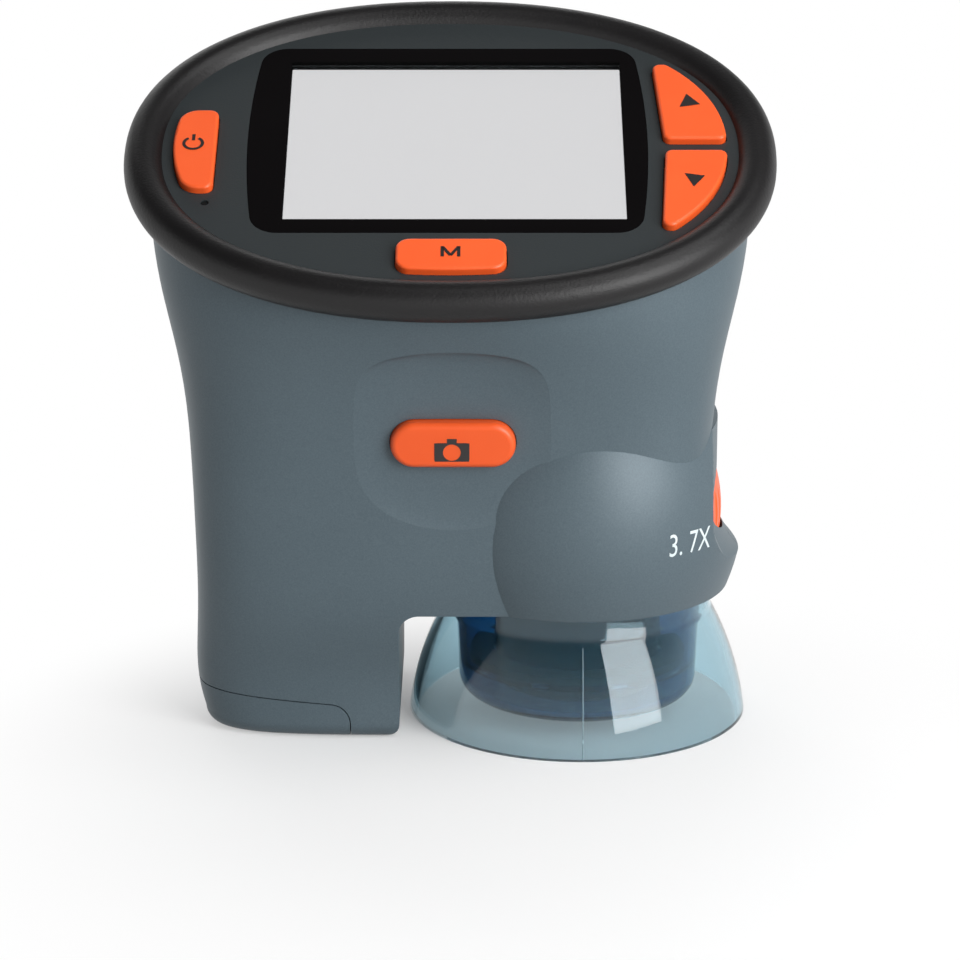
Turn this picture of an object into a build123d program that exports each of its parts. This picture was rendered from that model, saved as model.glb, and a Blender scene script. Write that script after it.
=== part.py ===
from build123d import *
import os
from math import cos, pi, radians, sin, sqrt, tan

# Hand-held digital microscope with a tilted LCD head, a leg that holds the cell, and a clear
# skirt that stands on the specimen. Millimetres, +Z up, X to the right, Y away from the user.
# The origin is the bottom centre of the whole object, below the middle of the rubber bead.

# --- head: rubber bead, face plate and display ---
HEAD_TILT = 27.4
HEAD_HEIGHT = 85.4
BEAD_HALF_LENGTH = 44.43
BEAD_HALF_DEPTH = 33.07
BEAD_RADIUS = 2.92
OVAL_POWER = 2.2
OVAL_STEPS = 40
PLATE_RISE = 1.25
PLATE_THICKNESS = 2.0
PLATE_LAP = 1.1
RIM_STEP = 0.25
WINDOW_LEFT, WINDOW_RIGHT = -29.5, 28.7
WINDOW_BOTTOM, WINDOW_TOP = -19.6, 24.1
WINDOW_BOW = 1.6
WINDOW_CORNER = 4.0
WINDOW_THICKNESS = 1.2
SCREEN_CENTRE_X, SCREEN_CENTRE_V = 0.7, 2.4
SCREEN_WIDTH, SCREEN_HEIGHT = 48.96, 36.72
LCD_LEDGE = 3.0
LCD_MARGIN = 1.6
LCD_THICKNESS = 2.4
LCD_CORNER = 2.0
LCD_FRAME_WALL = 1.0

# --- keys on the face plate ---
KEY_RISE = 1.15
KEY_GAP = 0.15
KEY_TRAVEL = 0.6
KEY_SKIRT = 0.5
KEY_SKIRT_HEIGHT = 0.9
KEY_EDGE = 0.45
SWITCH_SIZE = 3.6
SWITCH_HEIGHT = 0.7
SWITCH_CLEARANCE = 0.1
PILOT_X, PILOT_V = -34.9, -12.8
PILOT_RADIUS = 0.55

# --- housing column ---
WALL = 2.0
RIM_TOP = -0.75
PARTING_GAP = 0.12
OPTIC_X = 19.1
OPTIC_Y = 2.26
LEG_RIGHT = -7.65
UNDERSIDE = 20.5
NOTCH_RADIUS = 3.0
FOOT_EDGE = 2.4

# --- lens bulge and focus wheel ---
BULGE_RADIUS = 24.9
BULGE_FOOT_RADIUS = 22.6
BULGE_TOP_RADIUS = 22.0
BULGE_TOP = 46.3
RECESS_RADIUS = 40.7
RECESS_CENTRE_X = -1.0
RECESS_START = 34.0
RECESS_FLARE = 12.1
WHEEL_BOTTOM = 28.0
WHEEL_HEIGHT = 12.0
WHEEL_RADIUS = 21.4
WHEEL_TOP_RADIUS = 19.8
WHEEL_GAP = 0.4
WHEEL_RIBS = 60
RIB_DEPTH = 0.35
FOCUS_DOWN, FOCUS_UP = 0.5, 4.5

# --- optics ---
THREAD_RADIUS = 14.0
RUNNING_GAP = 0.08
BARREL_RADIUS = 12.4
BARREL_BOTTOM = 4.6
BARREL_TOP = 43.0
BARREL_BORE = 9.6
GUIDE_FLANGE = 2.0
GUIDE_COLLAR_RADIUS = 16.6
BRIDGE_THICKNESS = 2.0
TOWER_WALL = 2.6
SENSOR_HEIGHT = 53.0
BOARD_THICKNESS = 1.2

# --- clear skirt and light cup ---
SKIRT_RIM_RADIUS = 26.2
SKIRT_RIM_HEIGHT = 1.4
SKIRT_FOOT_RADIUS = 25.5
SKIRT_MIDDLE_RADIUS = 23.4
SKIRT_MIDDLE_HEIGHT = 9.0
SKIRT_NECK_RADIUS = 20.0
SKIRT_WALL = 1.2
CUP_BASE_HEIGHT = 2.6
CUP_BASE_RADIUS = 17.9
CUP_TOP_RADIUS = 18.4
CUP_WALL = 1.2
CUP_CORNER = 3.0
CUP_APERTURE = 9.0
LED_COUNT = 8
LED_RADIUS = 1.3
LED_BOARD_HEIGHT = 8.6
FIT = 0.15

# --- leg: cell and door ---
CELL_X = -22.6
CELL_RADIUS = 9.15
CELL_LENGTH = 49.8
CELL_BOTTOM = 3.6
SLEEVE_WALL = 1.1
DOOR_RIGHT = -15.0
DOOR_SEAM = 5.1
DOOR_SLOPE = 4.7
DOOR_CORNER = 3.0
DOOR_GAP = 0.15
DOOR_FLOOR = 2.0

# --- shutter key on the front ---
SHUTTER_X, SHUTTER_Z = 0.45, 47.4
SHUTTER_LENGTH, SHUTTER_WIDTH = 17.9, 6.9
SHUTTER_LEAN = 9.0
SHUTTER_RISE = 1.2
DIMPLE_LENGTH, DIMPLE_WIDTH, DIMPLE_DEPTH = 30.0, 20.0, 0.7

SHUTTER_FLANGE_GAP = 0.5
SHUTTER_POST = 2.6

# --- inside: boards, posts, screws and seats ---
SEAT_GAP = 0.05
SCREEN_LIP = 0.6
LCD_CELL = 0.6
KEY_INSET = 1.7
MENU_LEFT, MENU_RIGHT, MENU_TOP = -7.5, 8.0, -22.0
BOARD_INSET = 3.2
BOARD_SPACING = 7.0
PLATE_POSTS = [(-10.0, 25.0), (10.0, 25.0), (-20.0, -21.8), (20.0, -21.8)]
POST_RADIUS = 1.3
SPACERS = [(-22.0, -9.0), (22.0, -9.0), (-22.0, 9.0), (22.0, 9.0)]
SPACER_RADIUS = 2.0
MAIN_BOARD_X, MAIN_BOARD_V = 33.0, 20.0
CHIP_SIZE, CHIP_HEIGHT = 12.0, 1.2
PILOT_DEPTH = 0.2
SCREW_RADIUS = 0.75
SCREW_HEAD = 1.4
SCREW_HEAD_HEIGHT = 1.0
SCREW_REACH = 2.2
SCREW_TIP = 0.3
FLANGE_RADIUS = 20.9
FLANGE_HEIGHT = 0.8
THRUST_GAP = 0.1
CHASSIS_GAP = 0.4
BRIDGE_RADIUS = 20.3
WEB_THICKNESS = 2.6
WEB_HALF = 8.0
BARREL_KEY_HALF = 1.0
BARREL_KEY_DEPTH = 0.9
BARREL_CLEARANCE = 0.5
THREAD_LEAD = 2.0
RIB_RADIUS = 0.7
RETAINER_HEIGHT = 1.0
FRONT_LENS_HEIGHT = 3.2
REAR_LENS_BOTTOM = 36.0
REAR_LENS_HEIGHT = 2.6
LENS_SEAT = 1.4
LENS_SWELL = 0.9
SENSOR_BOARD = 25.0
SENSOR_CHIP = 7.0
SENSOR_SCREW = 11.1
LAMP_RING_GAP = 0.4
LED_HEIGHT = 1.6
CELL_GAP = 0.25
CELL_TIP = 1.0
CONTACT_HEIGHT = 0.6
SLEEVE_BOTTOM = 12.0
FIN_HALF = 0.8
FIN_TOP = 50.0
RAIL_INNER = 9.5
RAIL_WEB = 0.9
RAIL_LIP = 2.2
RAIL_TOP = 10.8
RAIL_LEFT, RAIL_RIGHT = -23.5, -16.5
LEDGE_LEFT = -30.0
LEDGE_HEIGHT = 1.0
TONGUE = 3.0
CLAMP_RADIUS = 23.0
PILLARS = [(-33.0, 64.0), (33.0, 60.0), (-9.0, 26.0), (-6.0, 57.0)]
PILLAR_RADIUS = 2.7
PILLAR_SCREW = 1.0
PILLAR_SCREW_HEAD = 1.9
PILLAR_HEAD_HEIGHT = 1.4
PILLAR_GRIP = 7.0
COUNTERBORE = 4.0
PORT_X, PORT_Z = 16.0, 61.0
PORT_WIDTH, PORT_HEIGHT, PORT_DEPTH = 24.0, 12.0, 7.5
USB_WIDTH, USB_HEIGHT = 7.6, 2.9
CARD_WIDTH, CARD_HEIGHT = 14.0, 1.9
SOCKET_SHY = 0.9

FAR = 120.0

FOOT_SECTION = (37.2, 16.0, 4.5)

# Sections of the housing column from the table up: height, centre Y, tilt, half width,
# half depth and corner power. The tilt grows until the sections lie along the head.
COLUMN_SECTIONS = [
    (FOOT_EDGE, OPTIC_Y, 0, *FOOT_SECTION),
    (UNDERSIDE, OPTIC_Y, 0, 37.9, 20.0, 4.5),
    (34.0, OPTIC_Y, 0, 38.1, 21.4, 4.4),
    (46.0, OPTIC_Y, 0, 38.6, 22.5, 4.1),
    (56.0, 2.0, 5, 39.7, 24.0, 3.6),
    (66.0, 1.6, 13, 41.7, 26.5, 3.0),
    (75.0, 1.0, 21, 43.3, 29.6, 2.5),
]
RIM_SECTION = (44.0, 32.7, OVAL_POWER)


def tilted(centre, tilt):
    """A plane whose x axis is the object's, tipped towards the user by tilt degrees."""
    normal = (0, -sin(radians(tilt)), cos(radians(tilt)))
    return Plane(origin=centre, x_dir=(1, 0, 0), z_dir=normal)


HEAD = tilted((0, 0, HEAD_HEIGHT), HEAD_TILT)
FACE = HEAD.offset(PLATE_RISE)
OPTIC = Location((OPTIC_X, OPTIC_Y, 0))
OUT = {}


def oval_wire(half_x, half_y, power, plane):
    """A closed superellipse through points set by its formula."""
    points = []
    for step in range(OVAL_STEPS):
        turn = 2 * pi * step / OVAL_STEPS
        reach = (abs(cos(turn)) ** power + abs(sin(turn)) ** power) ** (-1 / power)
        points.append((half_x * reach * cos(turn), half_y * reach * sin(turn)))
    return plane * Spline(*points, periodic=True)


def oval(half_x, half_y, power, plane=FACE):
    return make_face(oval_wire(half_x, half_y, power, plane))


def slab(face, top, bottom, normal=None):
    """A face drawn on the plate's surface, carried between two depths along its normal."""
    direction = normal or FACE.z_dir
    lowered = Location(direction * bottom) * face
    return extrude(lowered, amount=top - bottom, dir=direction)


def tube(outer, inner, bottom, top):
    ring = Circle(outer) - Circle(inner) if inner else Circle(outer)
    return OPTIC * Pos(0, 0, bottom) * extrude(ring, top - bottom)


def box(low, high):
    """A box from its lowest and highest corners."""
    sizes = [b - a for a, b in zip(low, high)]
    centre = [(a + b) / 2 for a, b in zip(low, high)]
    return Pos(*centre) * Box(*sizes)


def put(name, shape):
    """Keep a finished piece under its node name."""
    solids = shape.solids()
    shape = solids[0] if len(solids) == 1 else Compound(children=list(solids))
    shape.label = name
    OUT[name] = shape
    return shape


# --- housing: column, bulge, recess, notch ---
def column(inset, overrun=0.0):
    """The lofted column, drawn in by inset; overrun carries it past the rim."""
    sections = []
    for height, y, tilt, half_x, half_y, power in COLUMN_SECTIONS:
        plane = tilted((0, y, height), tilt)
        sections.append(oval(half_x - inset, half_y - inset, power, plane))
    rim_x, rim_y, power = RIM_SECTION
    rim = oval(rim_x - inset, rim_y - inset, power, HEAD.offset(RIM_TOP))
    body = loft(sections + [rim]) + foot(inset)
    if overrun:
        body += extrude(rim, amount=overrun, dir=HEAD.z_dir)
    return body


def foot(inset):
    """The rounded bottom edge of the column, a quarter turn in four sections."""
    half_x, half_y, power = FOOT_SECTION
    sections = []
    for step in range(4):
        turn = step * pi / 6
        reach = inset + FOOT_EDGE * (1 - sin(turn))
        plane = Plane((0, OPTIC_Y, FOOT_EDGE * (1 - cos(turn))))
        sections.append(oval(half_x - reach, half_y - reach, power, plane))
    return loft(sections)


def bulge(inset):
    """The round body of the focus drive, turned about the optical axis."""
    top = BULGE_TOP - inset
    middle = (UNDERSIDE + BULGE_TOP) / 2
    crown = ThreePointArc(
        (BULGE_FOOT_RADIUS - inset, UNDERSIDE),
        (BULGE_RADIUS - inset, middle),
        (BULGE_TOP_RADIUS - inset, top),
    )
    outline = crown + Polyline(crown @ 1, (0, top), (0, UNDERSIDE), crown @ 0)
    turned = OPTIC * revolve(Plane.XZ * make_face(outline), Axis.Z)
    return turned & recess(inset)


def recess(inset):
    """What the thumb recess leaves standing: a side wall that flares to the lower lip."""
    side = RECESS_RADIUS - inset
    drop = RECESS_START - UNDERSIDE + WALL
    flare_end = RECESS_START - RECESS_FLARE * 0.9
    flare_out = RECESS_FLARE - sqrt(RECESS_FLARE**2 - (RECESS_START - flare_end) ** 2)
    half = (RECESS_START - flare_end) / 2
    flare_half = RECESS_FLARE - sqrt(RECESS_FLARE**2 - half**2)
    arc = ThreePointArc(
        (side, RECESS_START),
        (side + flare_half, RECESS_START - half),
        (side + flare_out, flare_end),
    )
    rest = Polyline(
        arc @ 1,
        (side + flare_out, RECESS_START - drop - WALL),
        (0, RECESS_START - drop - WALL),
        (0, FAR),
        (side, FAR),
        arc @ 0,
    )
    outline = make_face(arc + rest)
    return Location((RECESS_CENTRE_X, OPTIC_Y, 0)) * revolve(Plane.XZ * outline, Axis.Z)


def notch(grow=0.0):
    """The open corner right of the leg, where the skirt hangs. The leg's foot is rounded."""
    side = LEG_RIGHT - grow
    roof = UNDERSIDE + grow
    turn = NOTCH_RADIUS + grow
    edge = FOOT_EDGE
    bow = edge * (1 - sqrt(0.5))
    foot_round = ThreePointArc((side - edge, 0), (side - bow, bow), (side, edge))
    top_round = ThreePointArc(
        (side, roof - turn),
        (side + turn * (1 - sqrt(0.5)), roof - turn * (1 - sqrt(0.5))),
        (side + turn, roof),
    )
    outline = (
        Polyline((FAR, -FAR), (side - edge, -FAR), foot_round @ 0)
        + foot_round
        + Line(foot_round @ 1, top_round @ 0)
        + top_round
        + Polyline(top_round @ 1, (FAR, roof), (FAR, -FAR))
    )
    return extrude(Plane.XZ * make_face(outline), FAR, both=True)


def dimple(skin):
    """The shallow dish that leads a finger to the shutter key."""
    depth = 4 * DIMPLE_DEPTH
    share = sqrt(1 - ((depth - DIMPLE_DEPTH) / depth) ** 2)
    dish = scale(Sphere(1), by=(DIMPLE_LENGTH / 2 / share, DIMPLE_WIDTH / 2 / share, depth))
    return shutter_plane(skin) * Pos(0, 0, depth - DIMPLE_DEPTH) * dish


def skin_y(solid, x, z, side=-1):
    """The skin's Y at one place, on the front (side -1) or the back (side 1)."""
    hit = solid & Line((x, side * FAR, z), (x, OPTIC_Y, z))
    reach = [side * vertex.Y for vertex in hit.vertices()]
    return side * max(reach)


def shutter_plane(body):
    y = skin_y(body, SHUTTER_X, SHUTTER_Z)
    lean = radians(SHUTTER_LEAN)
    return Plane((SHUTTER_X, y, SHUTTER_Z), x_dir=(1, 0, 0), z_dir=(0, -cos(lean), -sin(lean)))


solid_column = column(0)
raw_body = solid_column + bulge(0)
body = raw_body - notch() - dimple(solid_column)

hollow = column(WALL, overrun=BEAD_RADIUS) + bulge(WALL)
hollow -= notch(WALL)
hollow -= box((-FAR, -FAR, -FAR), (FAR, FAR, WALL))
shell = body - hollow


def window_outline(inset=0.0):
    """The display window: straight top and bottom, sides that bow out, round corners."""
    left, right = WINDOW_LEFT + inset, WINDOW_RIGHT - inset
    low, high = WINDOW_BOTTOM + inset, WINDOW_TOP - inset
    middle = (low + high) / 2
    left_side = ThreePointArc((left + WINDOW_BOW, high), (left, middle), (left + WINDOW_BOW, low))
    right_side = ThreePointArc(
        (right - WINDOW_BOW, low), (right, middle), (right - WINDOW_BOW, high)
    )
    edges = left_side + Line(left_side @ 1, right_side @ 0)
    edges += right_side + Line(right_side @ 1, left_side @ 0)
    face = make_face(edges)
    return fillet(face.vertices(), WINDOW_CORNER - inset)


def rounded_rectangle(x, v, width, height, radius):
    return Pos(x, v) * RectangleRounded(width, height, radius)


def on_face(sketch, top, bottom):
    """A flat sketch in plate coordinates, carried between two depths below the plate."""
    return slab(FACE * sketch, top, bottom)


def pin_on_face(x, v, radius, top, bottom):
    return on_face(Pos(x, v) * Circle(radius), top, bottom)


def screw_on_face(x, v, head_top, reach):
    """A screw whose head lies below head_top and whose shank reaches up past it."""
    head = pin_on_face(x, v, SCREW_HEAD, head_top, head_top - SCREW_HEAD_HEIGHT)
    return head + pin_on_face(x, v, SCREW_RADIUS, head_top + reach, head_top)


# --- face plate, bead and display ---
bead_bite = sqrt(BEAD_RADIUS**2 - PLATE_RISE**2)
visible_x = BEAD_HALF_LENGTH - bead_bite
visible_v = BEAD_HALF_DEPTH - bead_bite
plate_oval = oval(visible_x + PLATE_LAP, visible_v + PLATE_LAP, OVAL_POWER, Plane.XY)
plate_blank = on_face(plate_oval, 0, -PLATE_THICKNESS)

board_top = -(PLATE_THICKNESS + LCD_THICKNESS + 2 * SEAT_GAP)
board_bottom = board_top - BOARD_THICKNESS
main_top = board_bottom - BOARD_SPACING
main_bottom = main_top - BOARD_THICKNESS


key_x, key_v = visible_x - KEY_INSET, visible_v - KEY_INSET


def reach_at(across, half_across, half_along):
    """How far the key oval reaches along one axis at a place across it."""
    return half_along * (1 - abs(across / half_across) ** OVAL_POWER) ** (1 / OVAL_POWER)


def near(face, points):
    """The face's corners that lie at the given points."""
    return [
        vertex
        for vertex in face.vertices()
        if min((Vector(vertex.X, vertex.Y) - Vector(*point)).length for point in points) < SEAT_GAP
    ]


def key_outline(outer_points, inner_points, outer_radius, inner_radius):
    """A key: an arc along the oval, closed by straight inner sides, with rounded corners."""
    arc = ThreePointArc(*outer_points)
    face = make_face(arc + Polyline(arc @ 1, *inner_points, arc @ 0))
    face = fillet(near(face, outer_points[::2]), outer_radius)
    return fillet(near(face, inner_points), inner_radius)


def side_key(side, low, high, inner_low, inner_high, outer_radius, inner_radius):
    """A key on the left (side -1) or right (side 1) end of the plate."""
    levels = (low, (low + high) / 2, high)
    outer = [(side * reach_at(v, key_v, key_x), v) for v in levels]
    return key_outline(
        outer, [(inner_high, high), (inner_low, low)], outer_radius, inner_radius
    )


menu_ends = (MENU_LEFT, (MENU_LEFT + MENU_RIGHT) / 2, MENU_RIGHT)
KEYS = {
    "power_button": side_key(-1, -10.6, 7.6, -33.9, -33.9, 3.0, 1.3),
    "up_button": side_key(1, 0.8, 18.8, 31.0, 29.9, 1.1, 1.1),
    "down_button": side_key(1, -19.0, -1.8, 30.0, 31.1, 1.1, 1.1),
    "menu_button": key_outline(
        [(x, -reach_at(x, key_x, key_v)) for x in menu_ends],
        [(MENU_RIGHT, MENU_TOP), (MENU_LEFT, MENU_TOP)],
        2.0,
        2.0,
    ),
}
switch_top = board_top + SWITCH_HEIGHT
key_bottom = switch_top + KEY_TRAVEL + SWITCH_CLEARANCE

plate = plate_blank
plate -= on_face(window_outline(), 0, -WINDOW_THICKNESS)
screen_x = SCREEN_CENTRE_X
screen_v = SCREEN_CENTRE_V
plate -= on_face(
    rounded_rectangle(
        screen_x, screen_v, SCREEN_WIDTH + 2 * SCREEN_LIP, SCREEN_HEIGHT + 2 * SCREEN_LIP, 1.0
    ),
    0,
    -PLATE_THICKNESS,
)
plate -= pin_on_face(PILOT_X, PILOT_V, PILOT_RADIUS + SEAT_GAP, 0, -PLATE_THICKNESS)
for outline in KEYS.values():
    plate -= on_face(offset(outline, KEY_GAP), 0, -PLATE_THICKNESS)
for x, v in PLATE_POSTS:
    plate += pin_on_face(x, v, POST_RADIUS, -PLATE_THICKNESS, board_top)
    plate -= pin_on_face(x, v, SCREW_RADIUS + SEAT_GAP, board_top + SCREW_REACH, board_top)
put("face_plate", plate)

bead_path = oval_wire(BEAD_HALF_LENGTH, BEAD_HALF_DEPTH, OVAL_POWER, HEAD)
bead_section = Circle(BEAD_RADIUS)
for left_of, low, high in (
    (RIM_STEP, -BEAD_RADIUS, RIM_TOP),
    (PLATE_LAP - bead_bite + SEAT_GAP, RIM_TOP, PLATE_RISE),
):
    bead_section -= Pos(left_of - BEAD_RADIUS, (low + high) / 2) * Rectangle(
        2 * BEAD_RADIUS, high - low
    )
bead_plane = Plane(bead_path @ 0, x_dir=(1, 0, 0), z_dir=-(bead_path % 0))
put("bumper_ring", sweep(bead_plane * bead_section, bead_path))

put("display_window", on_face(window_outline(SEAT_GAP), 0, SEAT_GAP - WINDOW_THICKNESS))

lcd_left = screen_x - SCREEN_WIDTH / 2 - LCD_MARGIN - LCD_LEDGE
lcd_right = screen_x + SCREEN_WIDTH / 2 + LCD_MARGIN
lcd_width = lcd_right - lcd_left
lcd_height = SCREEN_HEIGHT + 2 * LCD_MARGIN
lcd_x = (lcd_left + lcd_right) / 2
lcd_top = -PLATE_THICKNESS - SEAT_GAP
lcd_bottom = lcd_top - LCD_THICKNESS
panel = on_face(rounded_rectangle(lcd_x, screen_v, lcd_width, lcd_height, LCD_CORNER), lcd_top, lcd_bottom)
cell_sketch = rounded_rectangle(screen_x, screen_v, SCREEN_WIDTH, SCREEN_HEIGHT, 0.2)
put("lcd_screen", on_face(cell_sketch, lcd_top, lcd_top - LCD_CELL))
put("lcd_panel", panel - on_face(cell_sketch, lcd_top, lcd_top - LCD_CELL))

frame_outer = rounded_rectangle(
    lcd_x, screen_v, lcd_width + 2 * LCD_FRAME_WALL, lcd_height + 2 * LCD_FRAME_WALL, LCD_CORNER + 1.5
)
frame_inner = rounded_rectangle(
    lcd_x, screen_v, lcd_width + 2 * SEAT_GAP, lcd_height + 2 * SEAT_GAP, LCD_CORNER + SEAT_GAP
)
put("lcd_frame", on_face(frame_outer - frame_inner, lcd_top, board_top + SEAT_GAP))

# --- keys and their board ---
for name, outline in KEYS.items():
    head = on_face(outline, KEY_RISE, -PLATE_THICKNESS - SEAT_GAP)
    rim = head.edges().filter_by(lambda e: abs(FACE.to_local_coords(e.center()).Z - KEY_RISE) < 0.01)
    head = fillet(rim, KEY_EDGE)
    skirt = on_face(offset(outline, KEY_SKIRT), -PLATE_THICKNESS - SEAT_GAP, key_bottom)
    put(name, head + skirt)

board_oval = oval(visible_x - BOARD_INSET, visible_v - BOARD_INSET, OVAL_POWER, Plane.XY)
key_board = on_face(board_oval, board_top, board_bottom)
for x, v in PLATE_POSTS:
    key_board -= pin_on_face(x, v, SCREW_RADIUS + SEAT_GAP, board_top, board_bottom)
put("key_board", key_board)
switches = []
for outline in KEYS.values():
    centre = outline.center()
    sketch = Pos(centre.X, centre.Y) * Rectangle(SWITCH_SIZE, SWITCH_SIZE)
    switches.append(on_face(sketch, switch_top, board_top))
put("key_switches", Compound(children=switches))
put("pilot_light", pin_on_face(PILOT_X, PILOT_V, PILOT_RADIUS, -PILOT_DEPTH, board_top))
posts = [screw_on_face(x, v, board_bottom, BOARD_THICKNESS + SCREW_REACH - SCREW_TIP)
         for x, v in PLATE_POSTS]
put("plate_screws", Compound(children=posts))

# --- main board on four spacers ---
spacers = []
board_screws = []
main_board = on_face(
    oval(MAIN_BOARD_X, MAIN_BOARD_V, OVAL_POWER, Plane.XY), main_top, main_bottom
)
for x, v in SPACERS:
    spacer = pin_on_face(x, v, SPACER_RADIUS, board_bottom, main_top)
    spacer -= pin_on_face(x, v, SCREW_RADIUS + SEAT_GAP, main_top + SCREW_REACH, main_top)
    spacers.append(spacer)
    main_board -= pin_on_face(x, v, SCREW_RADIUS + SEAT_GAP, main_top, main_bottom)
    screw = screw_on_face(x, v, main_bottom, BOARD_THICKNESS + SCREW_REACH - SCREW_TIP)
    board_screws.append(screw)
put("main_board", main_board)
put("board_spacers", Compound(children=spacers))
put("board_screws", Compound(children=board_screws))
chip_sketch = Rectangle(CHIP_SIZE, CHIP_SIZE)
put("processor_chip", on_face(chip_sketch, main_top + CHIP_HEIGHT, main_top))

# --- focus drive: chassis, wheel, barrel and lenses ---
floor_top = UNDERSIDE + WALL
skirt_top = floor_top + FLANGE_HEIGHT
cup_top = skirt_top + FLANGE_HEIGHT
collar_top = WHEEL_BOTTOM - THRUST_GAP
bridge_bottom = WHEEL_BOTTOM + WHEEL_HEIGHT + THRUST_GAP * 2
bridge_top = bridge_bottom + BRIDGE_THICKNESS
chassis_bore = THREAD_RADIUS + CHASSIS_GAP
tower_radius = chassis_bore + TOWER_WALL

chassis = tube(FLANGE_RADIUS, chassis_bore, cup_top, cup_top + GUIDE_FLANGE)
chassis += tube(GUIDE_COLLAR_RADIUS, chassis_bore, cup_top, collar_top)
chassis += tube(BRIDGE_RADIUS, chassis_bore, bridge_bottom, bridge_top) & recess(WALL + FIT)
chassis += tube(tower_radius, chassis_bore, bridge_bottom, SENSOR_HEIGHT)
web_right = OPTIC_X - WHEEL_RADIUS - WHEEL_GAP
web_left = web_right - WEB_THICKNESS
low_link = box(
    (web_left, OPTIC_Y - WEB_HALF, cup_top),
    (OPTIC_X - chassis_bore - 1, OPTIC_Y + WEB_HALF, cup_top + GUIDE_FLANGE),
)
high_link = box(
    (web_left, OPTIC_Y - WEB_HALF, bridge_bottom),
    (OPTIC_X - chassis_bore - 1, OPTIC_Y + WEB_HALF, bridge_top),
)
upright = box(
    (web_left, OPTIC_Y - WEB_HALF, floor_top), (web_right, OPTIC_Y + WEB_HALF, bridge_top)
)
chassis += low_link + high_link + upright
slot_half = BARREL_KEY_HALF + FIT
chassis -= box(
    (OPTIC_X - chassis_bore - BARREL_KEY_DEPTH - FIT, OPTIC_Y - slot_half, bridge_bottom),
    (OPTIC_X - chassis_bore + 1, OPTIC_Y + slot_half, BARREL_TOP + FOCUS_UP + FIT),
)
sensor_holes = [
    (OPTIC_X + sx * SENSOR_SCREW, OPTIC_Y + sy * SENSOR_SCREW) for sx in (-1, 1) for sy in (-1, 1)
]
for x, y in sensor_holes:
    hole = Pos(x, y, SENSOR_HEIGHT - SCREW_REACH) * extrude(
        Circle(SCREW_RADIUS + SEAT_GAP), SCREW_REACH
    )
    chassis -= hole
put("lens_chassis", chassis)


def wheel_profile(grow, bore):
    """The wheel's half section, grown all round for the space that it turns in."""
    low = WHEEL_BOTTOM - grow
    high = WHEEL_BOTTOM + WHEEL_HEIGHT + grow
    crown = ThreePointArc(
        (WHEEL_RADIUS - 0.3 + grow, low),
        (WHEEL_RADIUS - 0.1 + grow, (low + high) / 2),
        (WHEEL_TOP_RADIUS + grow, high),
    )
    rest = Polyline(crown @ 1, (bore, high), (bore, low), crown @ 0)
    return OPTIC * revolve(Plane.XZ * make_face(crown + rest), Axis.Z)


wheel = wheel_profile(0, THREAD_RADIUS + RUNNING_GAP)
ribs = []
for step in range(WHEEL_RIBS):
    turn = Rot(0, 0, 360 * step / WHEEL_RIBS)
    groove = extrude(Pos(WHEEL_RADIUS + RIB_RADIUS - RIB_DEPTH, 0) * Circle(RIB_RADIUS), WHEEL_HEIGHT)
    ribs.append(OPTIC * Pos(0, 0, WHEEL_BOTTOM) * turn * groove)
wheel -= ribs
put("focus_wheel", wheel)

thread_bottom = WHEEL_BOTTOM - THREAD_LEAD
barrel = tube(BARREL_RADIUS, BARREL_BORE, BARREL_BOTTOM, thread_bottom)
barrel += tube(THREAD_RADIUS, BARREL_BORE, thread_bottom, BARREL_TOP)
front_lens_bottom = BARREL_BOTTOM + RETAINER_HEIGHT
front_lens_top = front_lens_bottom + FRONT_LENS_HEIGHT
lens_radius = BARREL_BORE - SEAT_GAP
seat = BARREL_BORE - LENS_SEAT
seat_sag = LENS_SWELL * (seat / lens_radius) ** 2
front_seat = front_lens_top - seat_sag + SEAT_GAP
rear_seat = REAR_LENS_BOTTOM + seat_sag / 2 - SEAT_GAP
barrel += tube(BARREL_BORE + 0.5, seat, front_seat, front_seat + LENS_SEAT)
barrel += tube(BARREL_BORE + 0.5, seat, rear_seat - LENS_SEAT, rear_seat)
barrel += box(
    (OPTIC_X - chassis_bore - BARREL_KEY_DEPTH, OPTIC_Y - BARREL_KEY_HALF, BARREL_TOP - 2.0),
    (OPTIC_X - BARREL_BORE - 1, OPTIC_Y + BARREL_KEY_HALF, BARREL_TOP),
)
barrel = chamfer(
    barrel.edges().filter_by(GeomType.CIRCLE).group_by(Axis.Z)[0].sort_by(SortBy.LENGTH)[-1], 0.6
)
put("lens_barrel", barrel)


def lens(bottom, height, radius, swell):
    """A lens with a straight edge and two spherical faces that bulge by swell."""
    top = bottom + height
    ball = (radius**2 + swell**2) / (2 * swell)
    half_swell = ball - sqrt(ball**2 - radius**2 / 4)
    low = ThreePointArc((0, bottom), (radius / 2, bottom + half_swell), (radius, bottom + swell))
    high = ThreePointArc((radius, top - swell), (radius / 2, top - half_swell), (0, top))
    outline = low + Line(low @ 1, high @ 0) + high + Line(high @ 1, low @ 0)
    return OPTIC * revolve(Plane.XZ * make_face(outline), Axis.Z)


put("front_lens", lens(front_lens_bottom, FRONT_LENS_HEIGHT, lens_radius, LENS_SWELL))
put("rear_lens", lens(REAR_LENS_BOTTOM, REAR_LENS_HEIGHT, lens_radius, LENS_SWELL / 2))
ring_top = front_lens_bottom + seat_sag - SEAT_GAP
put("front_retainer", tube(lens_radius, seat, BARREL_BOTTOM, ring_top))
ring_bottom = REAR_LENS_BOTTOM + REAR_LENS_HEIGHT - seat_sag / 2 + SEAT_GAP
put("rear_retainer", tube(lens_radius, seat, ring_bottom, ring_bottom + RETAINER_HEIGHT))

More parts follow.
